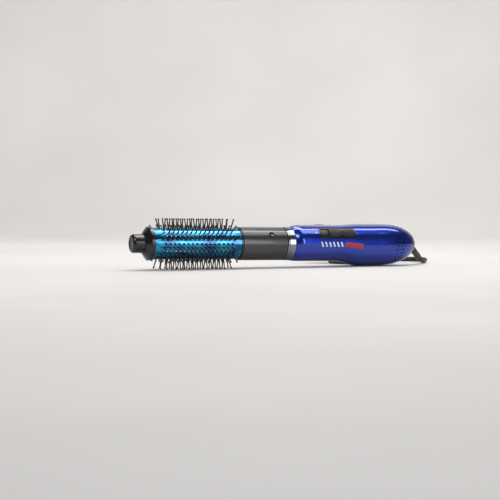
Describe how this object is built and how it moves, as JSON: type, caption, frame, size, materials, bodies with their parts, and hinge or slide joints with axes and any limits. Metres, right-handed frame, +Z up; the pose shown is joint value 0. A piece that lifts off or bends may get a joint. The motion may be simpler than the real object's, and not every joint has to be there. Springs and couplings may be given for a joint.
{
  "type": "hot air brush",
  "caption": "Hand-held hot air brush: round perforated barrel with bristles, pull-off head, sliding switch, swivel cord with plug",
  "frame": {"origin": "on the ground under the middle of the brush, halfway between the cool tip and the strain relief's end", "axes": "+X runs along the brush from the cool tip to the cord, +Y is away from the switch side, +Z is up; the brush lies on its bristles and its belly"},
  "size_m": [0.3686, 0.1283, 0.0521],
  "materials": {
    "black_plastic": "fine satin moulding",
    "bristle_nylon": "smooth nylon",
    "barrel_coating": "metallic blue non-stick coating",
    "collar_grey": "glossy dark grey",
    "trim_chrome": "polished",
    "handle_blue": "glossy metallic blue",
    "switch_black": "glossy",
    "heat_plastic": "moulded",
    "filter_mesh": "woven",
    "lens": "clear",
    "mica": "layered",
    "heater_wire": "drawn wire",
    "steel": "plated",
    "circuit_board": "lacquered",
    "wire_cover": "satin",
    "cord_rubber": "satin, ridged lengthwise",
    "plug_plastic": "satin moulding",
    "pin_brass": "nickel plated"
  },
  "bodies": {
    "handle": {"outlet_tube": "heat_plastic", "outlet_grille": "heat_plastic", "trim_ring": "trim_chrome", "upper_shell": "handle_blue", "lower_shell": "handle_blue", "shell_screws": "steel", "rear_cap": "black_plastic", "intake_filter": "filter_mesh", "switch_bezel": "switch_black", "switch_module": "heat_plastic", "indicator_lens": "lens", "heater_liner": "mica", "heater_frame": "mica", "heater_coil": "heater_wire", "thermostat": "steel", "thermal_fuse": "steel", "fan_housing": "heat_plastic", "motor": "steel", "rectifier_board": "circuit_board", "lead_wires": "wire_cover", "cord_lead": "cord_rubber", "cord_coil": "cord_rubber", "cord_tail": "cord_rubber", "coil_tie": "black_plastic", "plug_body": "plug_plastic", "plug_pins": "pin_brass"},
    "brush_head": {"cool_tip": "black_plastic", "tip_screw": "steel", "front_cap": "black_plastic", "barrel": "barrel_coating", "barrel_lip": "black_plastic", "bristle_strip_01": "bristle_nylon", "bristle_strip_02": "bristle_nylon", "bristle_strip_03": "bristle_nylon", "bristle_strip_04": "bristle_nylon", "bristle_strip_05": "bristle_nylon", "bristle_strip_06": "bristle_nylon", "bristle_strip_07": "bristle_nylon", "bristle_strip_08": "bristle_nylon", "bristle_strip_09": "bristle_nylon", "bristle_strip_10": "bristle_nylon", "bristle_strip_11": "bristle_nylon", "bristle_strip_12": "bristle_nylon", "collar": "collar_grey", "button_spring": "steel"},
    "release": {"release_button": "black_plastic"},
    "switch": {"switch_slider": "switch_black"},
    "fan": {"motor_shaft": "steel", "impeller": "heat_plastic"},
    "swivel": {"swivel_ball": "black_plastic", "cord_boot": "cord_rubber"}
  },
  "joints": [
    {"name": "head_pull_off", "type": "slide", "parent": "handle", "child": "brush_head", "axis": [-0.9999, 0, 0.0119], "range_m": [0, 0.05]},
    {"name": "release_press", "type": "slide", "parent": "brush_head", "child": "release", "axis": [-0.0068, 0.8192, -0.5735], "range_m": [0, 0.0008], "stiffness_N_per_m": 600, "deforming": ["button_spring"]},
    {"name": "power_switch", "type": "slide", "parent": "handle", "child": "switch", "axis": [-0.9999, 0, 0.0119], "range_m": [0, 0.0082]},
    {"name": "fan_spin", "type": "hinge", "parent": "handle", "child": "fan", "pos_m": [0.10066, 0, 0.02363], "axis": [0.9999, 0, -0.0119], "continuous": true},
    {"name": "cord_swivel", "type": "hinge", "parent": "handle", "child": "swivel", "pos_m": [0.14514, 0, 0.02311], "axis": [0.6927, 0.5854, -0.4213], "continuous": true}
  ]
}
